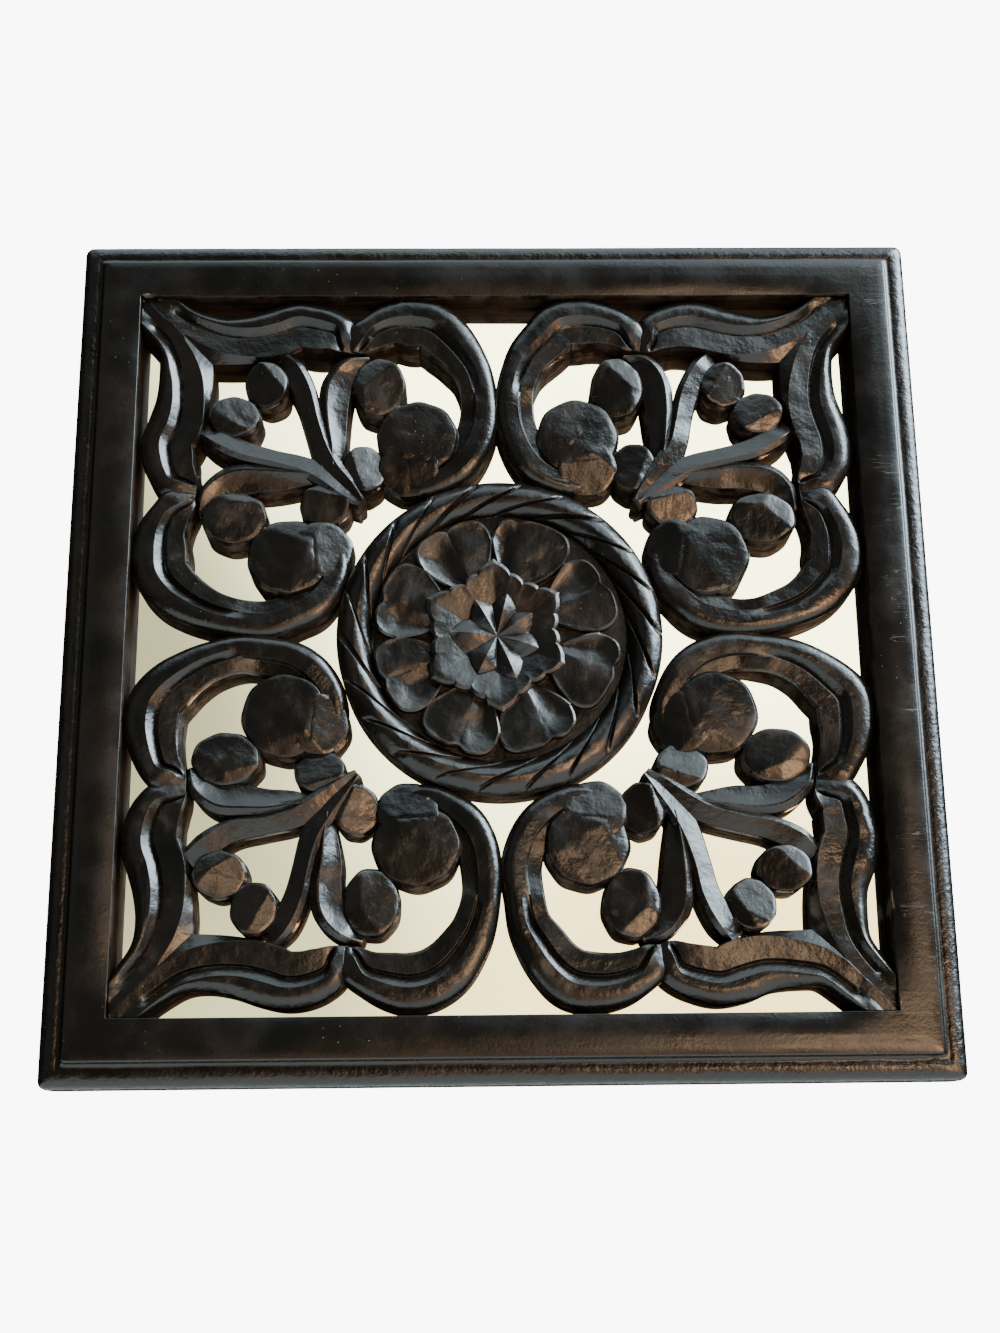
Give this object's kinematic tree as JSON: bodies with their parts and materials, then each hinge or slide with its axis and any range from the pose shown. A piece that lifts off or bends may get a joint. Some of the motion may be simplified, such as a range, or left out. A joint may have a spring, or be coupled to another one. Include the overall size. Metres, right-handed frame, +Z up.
{
  "type": "relief wall plaque",
  "caption": "Square wall plaque: a pierced, carved scrollwork panel with a roped rosette in its middle, in a moulded frame over a mirror.",
  "frame": {"origin": "middle of the flat back, where the plaque lies against the wall", "axes": "+Z up as hung, -Y out of the carved face towards the viewer, +Y into the wall, +X to the viewer's right"},
  "size_m": [0.3, 0.0186, 0.3],
  "materials": {
    "black_wood": "black stained and satin lacquered carved hardwood, worn on its arrises",
    "mirror_glass": "silvered flat glass",
    "hardboard": "plain brown hardboard"
  },
  "bodies": {
    "root": {"frame": "black_wood", "carved_panel": "black_wood", "mirror_glass": "mirror_glass", "backing_board": "hardboard"}
  },
  "joints": []
}
